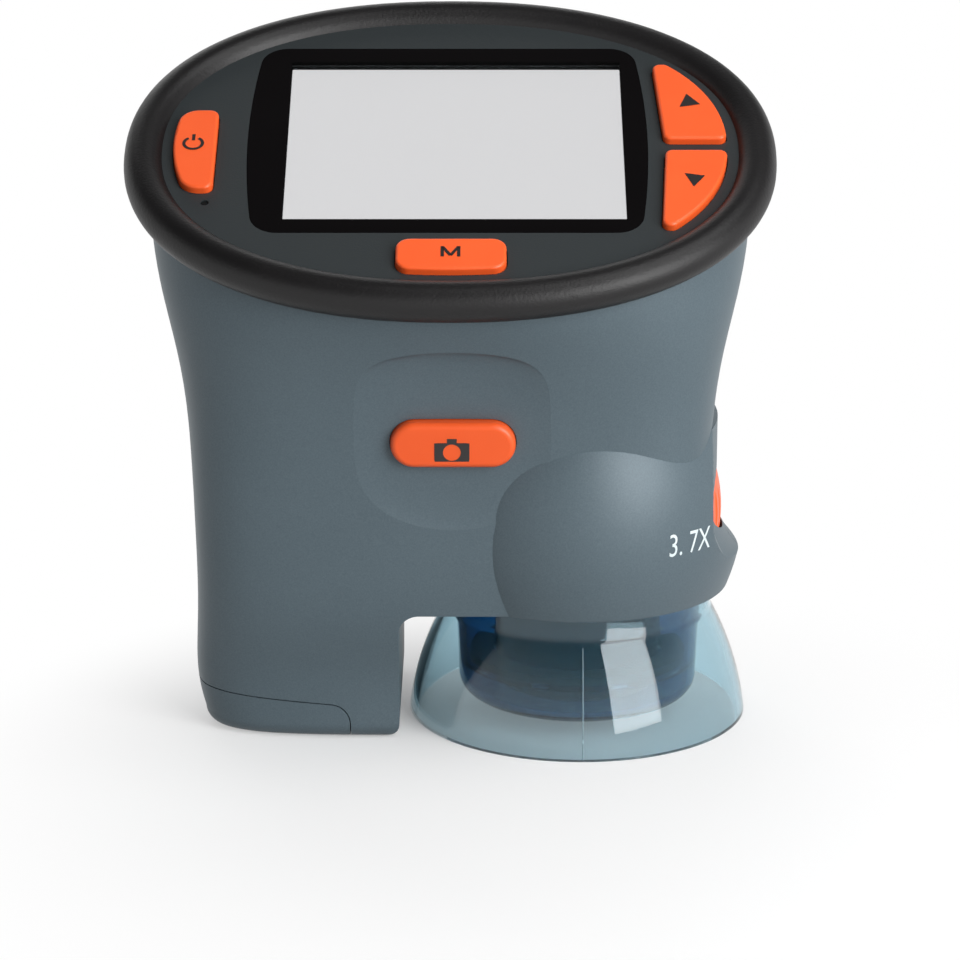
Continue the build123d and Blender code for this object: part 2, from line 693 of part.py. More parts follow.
board_half = SENSOR_BOARD / 2
sensor_board = box(
    (OPTIC_X - board_half, OPTIC_Y - board_half, SENSOR_HEIGHT),
    (OPTIC_X + board_half, OPTIC_Y + board_half, SENSOR_HEIGHT + BOARD_THICKNESS),
)
sensor_screws = []
for x, y in sensor_holes:
    shaft = Pos(x, y, SENSOR_HEIGHT) * extrude(Circle(SCREW_RADIUS + SEAT_GAP), BOARD_THICKNESS)
    sensor_board -= shaft
    head_bottom = SENSOR_HEIGHT + BOARD_THICKNESS
    screw = Pos(x, y, head_bottom) * extrude(Circle(SCREW_HEAD), SCREW_HEAD_HEIGHT)
    length = BOARD_THICKNESS + SCREW_REACH - SCREW_TIP
    screw += Pos(x, y, head_bottom - length) * extrude(Circle(SCREW_RADIUS), length)
    sensor_screws.append(screw)
put("sensor_board", sensor_board)
put("sensor_screws", Compound(children=sensor_screws))
chip_half = SENSOR_CHIP / 2
put(
    "image_sensor",
    box(
        (OPTIC_X - chip_half, OPTIC_Y - chip_half, SENSOR_HEIGHT - 1.0),
        (OPTIC_X + chip_half, OPTIC_Y + chip_half, SENSOR_HEIGHT),
    ),
)

# --- clear skirt, light cup and lamp ring ---


def skirt_arc(inset):
    return ThreePointArc(
        (SKIRT_FOOT_RADIUS - inset, SKIRT_RIM_HEIGHT),
        (SKIRT_MIDDLE_RADIUS - inset, SKIRT_MIDDLE_HEIGHT),
        (SKIRT_NECK_RADIUS - inset, UNDERSIDE),
    )


outer = skirt_arc(0)
inner = skirt_arc(SKIRT_WALL)
neck_in = SKIRT_NECK_RADIUS - SKIRT_WALL
foot_in = SKIRT_FOOT_RADIUS - SKIRT_WALL
outline = outer + Polyline(
    outer @ 1,
    (SKIRT_NECK_RADIUS, floor_top),
    (FLANGE_RADIUS, floor_top),
    (FLANGE_RADIUS, skirt_top),
    (neck_in, skirt_top),
    inner @ 1,
)
outline += inner + Polyline(
    inner @ 0,
    (foot_in, 0),
    (SKIRT_RIM_RADIUS, 0),
    (SKIRT_RIM_RADIUS, SKIRT_RIM_HEIGHT),
    outer @ 0,
)
skirt = OPTIC * revolve(Plane.XZ * make_face(outline), Axis.Z)
put("clear_skirt", skirt)

cup_floor = CUP_BASE_HEIGHT + CUP_WALL
outline = Polyline(
    (CUP_APERTURE, CUP_BASE_HEIGHT),
    (CUP_BASE_RADIUS, CUP_BASE_HEIGHT),
    (CUP_TOP_RADIUS, floor_top),
    (CUP_TOP_RADIUS, skirt_top),
    (FLANGE_RADIUS, skirt_top),
    (FLANGE_RADIUS, cup_top),
    (CUP_TOP_RADIUS - CUP_WALL, cup_top),
    (CUP_BASE_RADIUS - CUP_WALL, cup_floor),
    (CUP_APERTURE, cup_floor),
    close=True,
)
cup_face = make_face(outline)
low_corners = cup_face.vertices().filter_by(lambda v: v.X > CUP_APERTURE + 1 and v.Y < cup_floor + 1)
by_height = low_corners.sort_by(Axis.Y)
cup_face = fillet(by_height[0], CUP_CORNER)
inner_corner = cup_face.vertices().sort_by(
    lambda v: abs(v.X - CUP_BASE_RADIUS + CUP_WALL) + abs(v.Y - cup_floor)
)[0]
cup_face = fillet(inner_corner, CUP_CORNER - CUP_WALL)
cup = OPTIC * revolve(Plane.XZ * cup_face, Axis.Z)
lamp_ring_radius = CUP_BASE_RADIUS - CUP_WALL - LAMP_RING_GAP
cup += tube(CUP_BASE_RADIUS - CUP_WALL / 2, lamp_ring_radius - 0.5, LED_BOARD_HEIGHT - 0.8,
            LED_BOARD_HEIGHT)
put("light_cup", cup)
led_board_inner = BARREL_RADIUS + BARREL_CLEARANCE
put(
    "led_board",
    tube(lamp_ring_radius, led_board_inner, LED_BOARD_HEIGHT, LED_BOARD_HEIGHT + BOARD_THICKNESS),
)
led_circle = (led_board_inner + lamp_ring_radius - 0.5) / 2
leds = []
for step in range(LED_COUNT):
    lamp = Pos(led_circle, 0, LED_BOARD_HEIGHT - LED_HEIGHT) * extrude(Circle(LED_RADIUS), LED_HEIGHT)
    lamp = fillet(lamp.edges().group_by(Axis.Z)[0], LED_RADIUS * 0.6)
    leds.append(OPTIC * Rot(0, 0, 360 * (step + 0.5) / LED_COUNT) * lamp)
put("leds", Compound(children=leds))

# --- battery: sleeve, cell and contacts ---
CELL = Location((CELL_X, OPTIC_Y, 0))
sleeve_inner = CELL_RADIUS + CELL_GAP
sleeve_outer = sleeve_inner + SLEEVE_WALL
cell_top = CELL_BOTTOM + CELL_LENGTH
contact_bottom = cell_top + SEAT_GAP
cap_bottom = contact_bottom + CONTACT_HEIGHT + SEAT_GAP
cell_body = CELL * Pos(0, 0, CELL_BOTTOM) * extrude(Circle(CELL_RADIUS), CELL_LENGTH - CELL_TIP)
cell_rims = cell_body.edges().filter_by(GeomType.CIRCLE)
cell_body = fillet(cell_rims, 0.5)
cell_body += CELL * Pos(0, 0, cell_top - CELL_TIP) * extrude(Circle(CELL_RADIUS / 3), CELL_TIP)
put("battery_cell", cell_body)
sleeve = CELL * Pos(0, 0, SLEEVE_BOTTOM) * extrude(
    Circle(sleeve_outer) - Circle(sleeve_inner), cap_bottom - SLEEVE_BOTTOM
)
sleeve += CELL * Pos(0, 0, cap_bottom) * extrude(Circle(sleeve_outer), SLEEVE_WALL)
fins = box(
    (-FAR, OPTIC_Y - FIN_HALF, SLEEVE_BOTTOM + 1), (CELL_X, OPTIC_Y + FIN_HALF, FIN_TOP)
) + box((CELL_X - FIN_HALF, -FAR, SLEEVE_BOTTOM + 1), (CELL_X + FIN_HALF, FAR, FIN_TOP))
fins &= column(WALL + FIT)
fins -= CELL * Pos(0, 0, 0) * extrude(Circle(sleeve_outer - 0.3), FAR)
put("battery_sleeve", sleeve + fins)
put(
    "cell_contact",
    CELL * Pos(0, 0, contact_bottom) * extrude(Circle(CELL_RADIUS * 0.6), CONTACT_HEIGHT),
)

# --- battery door: the bottom of the leg, which slides off to the left ---


def door_region(grow):
    """Everything below the sloping seam and left of the upright cut."""
    seam = DOOR_SEAM + grow
    rise = (FAR + DOOR_RIGHT) * tan(radians(DOOR_SLOPE))
    outline = Polyline(
        (DOOR_RIGHT + grow, -FAR),
        (DOOR_RIGHT + grow, seam),
        (-FAR, seam + rise),
        (-FAR, -FAR),
        close=True,
    )
    face = make_face(outline)
    corner = face.vertices().sort_by(Axis.X)[-2:].sort_by(Axis.Y)[-1]
    face = fillet(corner, DOOR_CORNER + grow)
    return extrude(Plane.XZ * face, FAR, both=True)


door = shell & door_region(0)
rail_low, rail_high = DOOR_FLOOR - 0.2, RAIL_TOP
for side in (-1, 1):
    web = sorted(OPTIC_Y + side * d for d in (RAIL_INNER, RAIL_INNER + RAIL_WEB))
    lip = sorted(OPTIC_Y + side * d for d in (RAIL_INNER, RAIL_INNER + RAIL_LIP))
    door += box((RAIL_LEFT, web[0], rail_low), (RAIL_RIGHT, web[1], rail_high))
    door += box((RAIL_LEFT, lip[0], rail_high - RAIL_WEB), (RAIL_RIGHT, lip[1], rail_high))
tongue_half = RAIL_INNER / 2
door += box(
    (DOOR_RIGHT - 3, OPTIC_Y - tongue_half, DOOR_FLOOR - 0.2),
    (DOOR_RIGHT - DOOR_GAP, OPTIC_Y + tongue_half, CELL_BOTTOM - 0.3),
)
door += box(
    (DOOR_RIGHT - 1, OPTIC_Y - tongue_half, DOOR_FLOOR + DOOR_GAP),
    (DOOR_RIGHT + TONGUE, OPTIC_Y + tongue_half, CELL_BOTTOM - 0.3),
)
put("battery_door", door)
put(
    "door_contact",
    box(
        (CELL_X - 4, OPTIC_Y - 3, DOOR_FLOOR),
        (CELL_X + 2, OPTIC_Y + 3, CELL_BOTTOM - 0.3),
    ),
)

# --- housing shells ---
housing = shell - door_region(DOOR_GAP)
housing -= OPTIC * Pos(0, 0, UNDERSIDE - 1) * extrude(Circle(SKIRT_NECK_RADIUS + FIT), WALL + 2)
housing -= wheel_profile(WHEEL_GAP, 1.0)
mid_wall = column(WALL / 2)
for side in (-1, 1):
    ledge = sorted(OPTIC_Y + side * d for d in (RAIL_INNER + RAIL_WEB + FIT, FAR))
    housing += mid_wall & box(
        (LEDGE_LEFT, ledge[0], rail_high - RAIL_WEB - FIT - LEDGE_HEIGHT),
        (RAIL_RIGHT, ledge[1], rail_high - RAIL_WEB - FIT),
    )
clamp_bottom = cup_top + GUIDE_FLANGE + SEAT_GAP
clamp_ring = tube(CLAMP_RADIUS, FLANGE_RADIUS - 0.8, clamp_bottom, clamp_bottom + 0.9)
clamp_ring -= box(
    (web_left - FIT, OPTIC_Y - WEB_HALF - FIT, floor_top),
    (OPTIC_X - 1, OPTIC_Y + WEB_HALF + FIT, bridge_top),
)
housing += clamp_ring & raw_body

pillar_blank = [
    Pos(x, 0, z) * Rot(90, 0, 0) * extrude(Circle(PILLAR_RADIUS), FAR, both=True)
    for x, z in PILLARS
]
pillars = Part() + pillar_blank
housing += pillars & body
split_y = OPTIC_Y
housing_screws = []
for x, z in PILLARS:
    rear = skin_y(body, x, z, side=1)
    head_seat = rear - COUNTERBORE
    tip = split_y - PILLAR_GRIP
    along = Location((x, 0, z)) * Rot(-90, 0, 0)
    housing -= along * Pos(0, 0, head_seat) * extrude(Circle(PILLAR_SCREW_HEAD + FIT), FAR)
    housing -= along * Pos(0, 0, tip) * extrude(Circle(PILLAR_SCREW + SEAT_GAP), FAR)
    screw = along * Pos(0, 0, head_seat) * extrude(Circle(PILLAR_SCREW_HEAD), PILLAR_HEAD_HEIGHT)
    screw += along * Pos(0, 0, tip + SCREW_TIP) * extrude(
        Circle(PILLAR_SCREW), head_seat - tip - SCREW_TIP
    )
    housing_screws.append(screw)
put("housing_screws", Compound(children=housing_screws))

# shutter key, its opening and its board
key_plane = shutter_plane(solid_column)
stadium = SlotOverall(SHUTTER_LENGTH, SHUTTER_WIDTH)
housing -= extrude(key_plane * offset(stadium, KEY_GAP), WALL * 2, both=True)
shutter_flange = -(WALL + SHUTTER_FLANGE_GAP)
shutter_low = shutter_flange - KEY_SKIRT_HEIGHT
cap = extrude(key_plane.offset(shutter_flange) * stadium, SHUTTER_RISE - shutter_flange)
cap_rim = cap.edges().filter_by(
    lambda e: abs(key_plane.to_local_coords(e.center()).Z - SHUTTER_RISE) < 0.01
)
cap = fillet(cap_rim, KEY_EDGE * 2)
cap += extrude(key_plane.offset(shutter_low) * offset(stadium, KEY_SKIRT * 1.5), KEY_SKIRT_HEIGHT)
put("shutter_button", cap)
shutter_switch_top = shutter_low - KEY_TRAVEL - SWITCH_CLEARANCE
shutter_board_top = shutter_switch_top - SWITCH_HEIGHT
shutter_half = SHUTTER_LENGTH / 2 + SHUTTER_POST
board_face = key_plane.offset(shutter_board_top - BOARD_THICKNESS) * RectangleRounded(
    2 * shutter_half + 2 * POST_RADIUS, SHUTTER_WIDTH, 1.0
)
shutter_board = extrude(board_face, BOARD_THICKNESS)
for side in (-1, 1):
    post_face = key_plane.offset(shutter_board_top) * Pos(side * shutter_half, 0) * Circle(POST_RADIUS)
    post = extrude(post_face, WALL / 2 - shutter_board_top - WALL)
    housing += post
put("shutter_board", shutter_board)
put(
    "shutter_switch",
    extrude(key_plane.offset(shutter_board_top) * Rectangle(SWITCH_SIZE, SWITCH_SIZE), SWITCH_HEIGHT),
)

# sockets on the back: a port board with a data socket and a card slot
port_y = skin_y(body, PORT_X, PORT_Z, side=1)
port_face = port_y - PORT_DEPTH
port_board = box(
    (PORT_X - PORT_WIDTH / 2, port_face - BOARD_THICKNESS, PORT_Z - PORT_HEIGHT / 2),
    (PORT_X + PORT_WIDTH / 2, port_face, PORT_Z + PORT_HEIGHT / 2),
)
put("port_board", port_board)
usb = (PORT_X - PORT_WIDTH / 4, PORT_Z - PORT_HEIGHT / 4)
card = (PORT_X + PORT_WIDTH / 8, PORT_Z + PORT_HEIGHT / 4)


def socket(name, centre, width, height, lining):
    """A sheet-metal socket on the port board and the slot for it in the housing."""
    x, z = centre
    front = port_y - SOCKET_SHY
    low = (x - width / 2, port_face, z - height / 2)
    high = (x + width / 2, front, z + height / 2)
    shell_box = box(low, high)
    mouth = box(
        (low[0] + lining, port_face + 1, low[2] + lining),
        (high[0] - lining, front + 1, high[2] - lining),
    )
    put(name, shell_box - mouth)
    return box(
        (low[0] - FIT, port_face + 1, low[2] - FIT), (high[0] + FIT, FAR, high[2] + FIT)
    )


housing -= socket("usb_socket", usb, USB_WIDTH, USB_HEIGHT, 0.3)
housing -= socket("card_socket", card, CARD_WIDTH, CARD_HEIGHT, 0.3)
for side in (-1, 1):
    x = PORT_X + side * (PORT_WIDTH / 2 - POST_RADIUS)
    post = Location((x, port_face, PORT_Z)) * Rot(-90, 0, 0) * extrude(Circle(POST_RADIUS), PORT_DEPTH - 1)
    housing += post

gap = PARTING_GAP / 2
put("front_shell", housing & box((-FAR, -FAR, -FAR), (FAR, split_y - gap, FAR)))
put("rear_shell", housing & box((-FAR, split_y + gap, -FAR), (FAR, FAR, FAR)))

os.makedirs("parts", exist_ok=True)
for name, shape in OUT.items():
    export_step(shape, os.path.join("parts", name + ".step"))
    print(name, len(shape.solids()), round(shape.volume, 1), shape.is_valid)
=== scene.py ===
# %% [markdown]
# # A hand-held digital microscope
#
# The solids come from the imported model, which is the fixed frame. This script gives them their
# finishes, prints the small marks on the keys and sets up a plain studio. Places are in the
# frame's own axes: X to the right, Y away from the user, Z up. The frame is in metres. What is
# drawn here is in millimetres, and MM turns it into metres.

# %% Load the frame
from math import atan2, cos, pi, radians, sin

import bmesh
import bpy
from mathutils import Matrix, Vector
from mathutils.bvhtree import BVHTree


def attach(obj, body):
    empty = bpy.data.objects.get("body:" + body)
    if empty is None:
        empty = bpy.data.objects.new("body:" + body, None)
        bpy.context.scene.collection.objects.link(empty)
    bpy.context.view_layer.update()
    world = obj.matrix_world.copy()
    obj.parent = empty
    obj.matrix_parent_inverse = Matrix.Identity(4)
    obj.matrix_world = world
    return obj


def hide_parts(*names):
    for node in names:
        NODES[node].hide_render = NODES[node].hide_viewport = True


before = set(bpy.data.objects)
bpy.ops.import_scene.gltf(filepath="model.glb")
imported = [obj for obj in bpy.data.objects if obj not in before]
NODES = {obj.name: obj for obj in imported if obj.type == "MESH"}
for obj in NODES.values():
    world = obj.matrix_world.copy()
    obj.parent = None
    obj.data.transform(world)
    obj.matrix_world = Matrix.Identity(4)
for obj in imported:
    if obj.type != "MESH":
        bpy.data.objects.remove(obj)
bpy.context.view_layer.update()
MM = 0.001


# %% Two helpers
def placed(name, data):
    """A new object in the scene."""
    thing = bpy.data.objects.new(name, data)
    bpy.context.scene.collection.objects.link(thing)
    return thing


def drawn(name, drawing):
    """A mesh from a drawing, which is used up."""
    mesh = bpy.data.meshes.new(name)
    drawing.to_mesh(mesh)
    drawing.free()
    return mesh


# %% [markdown]
# ## Writing materials as sums
#
# A material is a small graph, and long graphs are hard to read. Two classes keep them short.
# `Value` wraps one socket, so that `0.4 + 0.1 * grain` adds the Math nodes by itself.
# `Finish` is one material in the making: its `add` makes any other node in one line. The world
# behind the object is made in the same way.


# %% Value and Finish
class Value:
    """One output socket. Sums and products of values add Math nodes."""

    def __init__(self, finish, socket):
        self.finish = finish
        self.socket = socket

    def math(self, operation, first, second):
        return self.finish.add("ShaderNodeMath", {"operation": operation}, {0: first, 1: second})

    def __add__(self, other):
        return self.math("ADD", self, other)

    __radd__ = __add__

    def __sub__(self, other):
        return self.math("SUBTRACT", self, other)

    def __mul__(self, other):
        return self.math("MULTIPLY", self, other)

    __rmul__ = __mul__


class Finish:
    """A material, or the world, that is being put together node by node."""

    def __init__(self, name, world=None):
        self.owner = world or bpy.data.materials.new(name)
        self.owner.use_nodes = True
        self.tree = self.owner.node_tree
        self.tree.nodes.clear()
        self.output = self.tree.nodes.new("ShaderNodeOutputWorld" if world else "ShaderNodeOutputMaterial")

    def feed(self, socket, value):
        if isinstance(value, Value):
            self.tree.links.new(value.socket, socket)
        else:
            socket.default_value = value

    def add(self, kind, settings=None, inputs=None, output=0):
        """Make a node: its settings first, then the values or links of its sockets."""
        node = self.tree.nodes.new(kind)
        for key, setting in (settings or {}).items():
            if key == "stops":
                ramp = node.color_ramp
                while len(ramp.elements) < len(setting):
                    ramp.elements.new(1.0)
                for element, (place, colour) in zip(ramp.elements, setting):
                    element.position = place
                    element.color = colour
            else:
                setattr(node, key, setting)
        for key, value in (inputs or {}).items():
            self.feed(node.inputs[key], value)
        return Value(self, node.outputs[output])

    def place(self):
        """Where a point lies in the frame, in metres."""
        return self.add("ShaderNodeTexCoord", output="Object")

    def noise(self, size, detail=2.0):
        """Grey noise with spots of about the given size."""
        return self.add(
            "ShaderNodeTexNoise",
            {"noise_dimensions": "3D"},
            {"Vector": self.place(), "Scale": 1 / size, "Detail": detail},
        )

    def blend(self, share, first, second):
        """A colour between two others."""
        return self.add("ShaderNodeMix", {"data_type": "RGBA"}, {0: share, 6: first, 7: second}, 2)

    def bump(self, height, depth):
        return self.add("ShaderNodeBump", None, {"Height": height, "Distance": depth})

    def surface(self, **sockets):
        """A Principled shader. Names use _ for a space."""
        named = {key.replace("_", " "): value for key, value in sockets.items()}
        return self.add("ShaderNodeBsdfPrincipled", None, named)

    def done(self, shader, dye=None, density=0.0):
        """Join up the output. A dye colours light by how far it runs inside; density is per metre."""
        self.tree.links.new(shader.socket, self.output.inputs["Surface"])
        if dye:
            volume = self.add("ShaderNodeVolumeAbsorption", None, {"Color": dye, "Density": density})
            self.tree.links.new(volume.socket, self.output.inputs["Volume"])
        return self.owner


def srgb(red, green, blue):
    """A colour as a screen names it, 0 to 255, made linear for the shader."""

    def linear(level):
        share = level / 255
        return share / 12.92 if share <= 0.04045 else ((share + 0.055) / 1.055) ** 2.4

    return (linear(red), linear(green), linear(blue), 1.0)


def dress(material, *names):
    """Give CAD nodes a finish."""
    for name in names:
        slots = NODES[name].data.materials
        slots.clear()
        slots.append(material)
    print(material.name, "on", ", ".join(names))


# %% [markdown]
# ## The plate's own axes
#
# The head tips towards the user. Places on it are easier to give along its own axes: across, up
# the slope and out of the plate.

# %% Plate coordinates
TILT = radians(27.4)
PIVOT_HEIGHT, PLATE_RISE = 85.4, 1.25
ACROSS = Vector((1, 0, 0))
UP_SLOPE = Vector((0, cos(TILT), sin(TILT)))
OUT_OF_PLATE = Vector((0, -sin(TILT), cos(TILT)))
PLATE_ORIGIN = Vector((0, 0, PIVOT_HEIGHT)) + PLATE_RISE * OUT_OF_PLATE
print("plate middle", [round(c, 2) for c in PLATE_ORIGIN])

# %% [markdown]
# ## The camera
#
# A long lens far away keeps the proportions calm. It looks down a little, so the display and
# the front both show.

# %% Camera
CAMERA_PITCH = 16.1
camera = placed("camera", bpy.data.cameras.new("camera"))
camera.data.lens = 123.75
camera.data.sensor_width = 36.0
camera.data.clip_start = 0.01
camera.location = (0.0043, -0.47394, 0.1729)
camera.rotation_euler = (radians(90 - CAMERA_PITCH), 0, 0)
bpy.context.scene.camera = camera
bpy.context.scene.view_settings.view_transform = "Standard"
print("camera lens", camera.data.lens)

# %% [markdown]
# ## Blue-grey lacquer
#
# The housing and the battery door are moulded plastic under a satin lacquer with a very fine
# metallic flake. Two noises do it: a slow one shifts the tone a little over the surface, and a
# fine one is the flake, in colour and as a slight bump.

# %% Lacquer
lacquer = Finish("housing_lacquer")
slow = lacquer.noise(0.03, 3.0)
flake = lacquer.noise(0.00022, 1.0)
tone = 0.35 * slow + 0.65 * flake
lacquer_colour = lacquer.add(
    "ShaderNodeValToRGB",
    {"stops": [(0.3, srgb(78, 93, 101)), (0.7, srgb(92, 107, 115))]},
    {"Fac": tone},
)
LACQUER = lacquer.done(
    lacquer.surface(
        Base_Color=lacquer_colour,
        Metallic=0.12 + 0.1 * flake,
        Roughness=0.43 + 0.08 * flake,
        Normal=lacquer.bump(flake, 0.000004),
    )
)
dress(LACQUER, "front_shell", "rear_shell", "battery_door")

# %% [markdown]
# ## Black rubber bead
#
# The bead is a soft black elastomer. It has a broad, dull highlight and a fine stipple, which
# is a bump from small noise. A second, larger noise makes the sheen a little uneven, as
# handling does.

# %% Rubber
rubber = Finish("bead_rubber")
stipple = rubber.noise(0.0004, 2.0)
handled = rubber.noise(0.012, 3.0)
RUBBER = rubber.done(
    rubber.surface(
        Base_Color=rubber.blend(handled, srgb(13, 12, 13), srgb(21, 19, 20)),
        Roughness=0.38 + 0.14 * handled,
        Specular_IOR_Level=0.4,
        Normal=rubber.bump(stipple, 0.00004),
    )
)
dress(RUBBER, "bumper_ring")

# %% [markdown]
# ## Dark face plate
#
# The plate is spark-eroded dark grey plastic: nearly matte, with an even fine grain.

# %% Face plate
plate = Finish("face_plate_grain")
grain = plate.noise(0.00025, 2.0)
PLATE = plate.done(
    plate.surface(
        Base_Color=plate.blend(grain, srgb(39, 45, 47), srgb(46, 51, 53)),
        Roughness=0.52 + 0.12 * grain,
        Specular_IOR_Level=0.35,
        Normal=plate.bump(grain, 0.00002),
    )
)
dress(PLATE, "face_plate")

# %% [markdown]
# ## Orange keys and wheel
#
# The keys and the wheel are one orange plastic, dyed right through, with a satin skin.

# %% Orange plastic
orange = Finish("orange_plastic")
skin = orange.noise(0.0003, 2.0)
patch = orange.noise(0.008, 2.0)
ORANGE = orange.done(
    orange.surface(
        Base_Color=orange.blend(patch, srgb(250, 92, 34), srgb(255, 101, 42)),
        Roughness=0.34 + 0.1 * skin,
        Normal=orange.bump(skin, 0.000012),
    )
)
dress(ORANGE, "power_button", "up_button", "down_button", "menu_button", "shutter_button")
dress(ORANGE, "focus_wheel")

# %% [markdown]
# ## Display
#
# The window is one clear pane. A black border is printed on it, so the pane is a mix of two
# shaders: black gloss outside the screen, clear inside. The mask is two bands with hard edges in
# plate axes, one across and one up the slope. Below it the lit screen gives its own even light.

# %% Display window and screen
pane = Finish("display_pane")
split = pane.add("ShaderNodeSeparateXYZ", None, {0: pane.place()})
across, depth, height = (Value(pane, split.socket.node.outputs[axis]) for axis in "XYZ")
up_slope = (depth - PLATE_ORIGIN.y * MM) * cos(TILT) + (height - PLATE_ORIGIN.z * MM) * sin(TILT)


def band(finish, value, low, high):
    """1 between two values, 0 outside, with a hard edge."""
    above = finish.add("ShaderNodeMath", {"operation": "GREATER_THAN"}, {0: value, 1: low})
    below = finish.add("ShaderNodeMath", {"operation": "LESS_THAN"}, {0: value, 1: high})
    return above * below


SCREEN_LEFT, SCREEN_RIGHT = -23.8, 25.2
SCREEN_LOW, SCREEN_HIGH = -16.5, 20.65
clear = band(pane, across, SCREEN_LEFT * MM, SCREEN_RIGHT * MM) * band(
    pane, up_slope, SCREEN_LOW * MM, SCREEN_HIGH * MM
)
smudge = pane.noise(0.01, 3.0)
printed = pane.surface(
    Base_Color=srgb(10, 8, 9), Roughness=0.1 + 0.08 * smudge, Specular_IOR_Level=0.3
)
glass = pane.surface(Base_Color=(1, 1, 1, 1), Roughness=0.0, Transmission_Weight=1.0, IOR=1.45)
PANE = pane.done(pane.add("ShaderNodeMixShader", None, {0: clear, 1: printed, 2: glass}))
dress(PANE, "display_window")

screen = Finish("lit_screen")
pixels = screen.noise(0.0002, 1.0)
lit = screen.blend(pixels, srgb(219, 219, 221), srgb(227, 227, 228))
SCREEN = screen.done(
    screen.surface(
        Base_Color=srgb(8, 8, 8), Roughness=0.5, Emission_Color=lit, Emission_Strength=1.0
    )
)
dress(SCREEN, "lcd_screen")

# %% [markdown]
# ## Clear skirt and blue cup
#
# The skirt is clear plastic with a hint of blue, and the cup inside it is the same plastic
# dyed deeper. A dye works by depth: a wall seen edge on is far bluer than one seen through.
# A Base Color tints every crossing alike, so the dye is a Volume Absorption instead.

# %% Clear plastics
skirt = Finish("clear_skirt_plastic")
haze = skirt.noise(0.006, 2.0)
SKIRT = skirt.done(
    skirt.surface(
        Base_Color=skirt.blend(haze, srgb(238, 247, 250), srgb(244, 250, 252)),
        Roughness=0.01 + 0.02 * haze,
        Transmission_Weight=1.0,
        IOR=1.46,
    ),
    dye=(0.0, 0.46, 0.6, 1),
    density=270.0,
)
dress(SKIRT, "clear_skirt")

cup = Finish("blue_cup_plastic")
swirl = cup.noise(0.008, 2.0)
CUP = cup.done(
    cup.surface(
        Base_Color=cup.blend(swirl, srgb(150, 208, 226), srgb(168, 218, 232)),
        Roughness=0.03 + 0.04 * swirl,
        Transmission_Weight=0.92,
        IOR=1.46,
    ),
    dye=(0.0, 0.58, 0.76, 1),
    density=1500.0,
)
dress(CUP, "light_cup")

# %% [markdown]
# ## What shows inside
#
# Through the skirt and the cup one sees the lamp ring, the black barrel and the front lens.
# The rest of the inside shows only when the door is open, but each piece has its finish.

# %% Inner finishes


def speckled(name, dark, light, size, low_rough, high_rough, metallic=0.0, depth=0.0):
    """A simple moulded, turned or coated finish: two tones in noise, with matching roughness."""
    finish = Finish(name)
    spots = finish.noise(size, 2.0)
    shader = finish.surface(
        Base_Color=finish.blend(spots, srgb(*dark), srgb(*light)),
        Metallic=metallic,
        Roughness=low_rough + (high_rough - low_rough) * spots,
        **({"Normal": finish.bump(spots, depth)} if depth else {}),
    )
    return finish.done(shader)


BLACK_METAL = speckled("black_anodised", (16, 17, 19), (26, 27, 30), 0.0005, 0.28, 0.4, 0.4, 0.000006)
BLACK_PLASTIC = speckled("black_inner_plastic", (18, 18, 20), (28, 28, 30), 0.0008, 0.5, 0.65, 0.0, 0.00002)
BOARD = speckled("green_solder_mask", (12, 62, 36), (20, 84, 48), 0.002, 0.25, 0.4, 0.0, 0.000008)
STEEL = speckled("plain_steel", (150, 152, 156), (180, 182, 186), 0.0006, 0.25, 0.42, 1.0)
BRASS = speckled("turned_brass", (176, 140, 74), (204, 170, 98), 0.0008, 0.25, 0.4, 1.0)
RESIN = speckled("black_resin", (14, 14, 15), (24, 24, 25), 0.0004, 0.5, 0.6, 0.0, 0.00001)
WRAP = speckled("cell_wrap", (24, 58, 122), (34, 72, 142), 0.004, 0.2, 0.32)

dress(BLACK_METAL, "lens_barrel", "front_retainer", "rear_retainer")
dress(BLACK_PLASTIC, "lens_chassis", "battery_sleeve", "lcd_frame")
dress(BOARD, "key_board", "main_board", "sensor_board", "led_board", "shutter_board", "port_board")
dress(STEEL, "plate_screws", "board_screws", "sensor_screws", "housing_screws", "lcd_panel")
dress(STEEL, "key_switches", "shutter_switch", "usb_socket", "card_socket")
dress(BRASS, "board_spacers", "cell_contact", "door_contact")
dress(RESIN, "processor_chip", "image_sensor")
dress(WRAP, "battery_cell")

lamp = Finish("lamp_resin")
drop = lamp.noise(0.001, 1.0)
LAMP = lamp.done(
    lamp.surface(
        Base_Color=lamp.blend(drop, srgb(226, 230, 226), srgb(244, 246, 240)), Roughness=0.2 + 0.1 * drop
    )
)
dress(LAMP, "leds")

SMOKED = speckled("smoked_lamp_lens", (16, 19, 20), (24, 28, 29), 0.0003, 0.2, 0.3)
dress(SMOKED, "pilot_light")

optics = Finish("lens_glass")
coating = optics.noise(0.004, 1.0)
LENS = optics.done(
    optics.surface(
        Base_Color=optics.blend(coating, srgb(214, 232, 238), srgb(232, 240, 244)),
        Roughness=0.01 + 0.01 * coating,
        Transmission_Weight=1.0,
        IOR=1.5,
    )
)
dress(LENS, "front_lens", "rear_lens")
print("materials", len(bpy.data.materials))

# %% [markdown]
# ## A smooth skin over the focus drive
#
# The housing swells round the focus drive, and the swelling ends in a clean arch. The solid has
# a fold there, where the finger dish runs into it. A thin cover, moulded over the solid, mends
# that. It is a grid of rays about the optical axis: each point stands where the solid does, or
# further out where the ideal form does. Beyond the arch it dives under the solid's skin.

# %% Turned forms
OPTIC = Vector((19.1, 2.26, 0))
RING_CREASE, COVER_CREASE = 35, 24


def outward_at(turn):
    """The direction away from the optical axis. It turns right from the user's side."""
    return Vector((sin(turn), -cos(turn), 0))


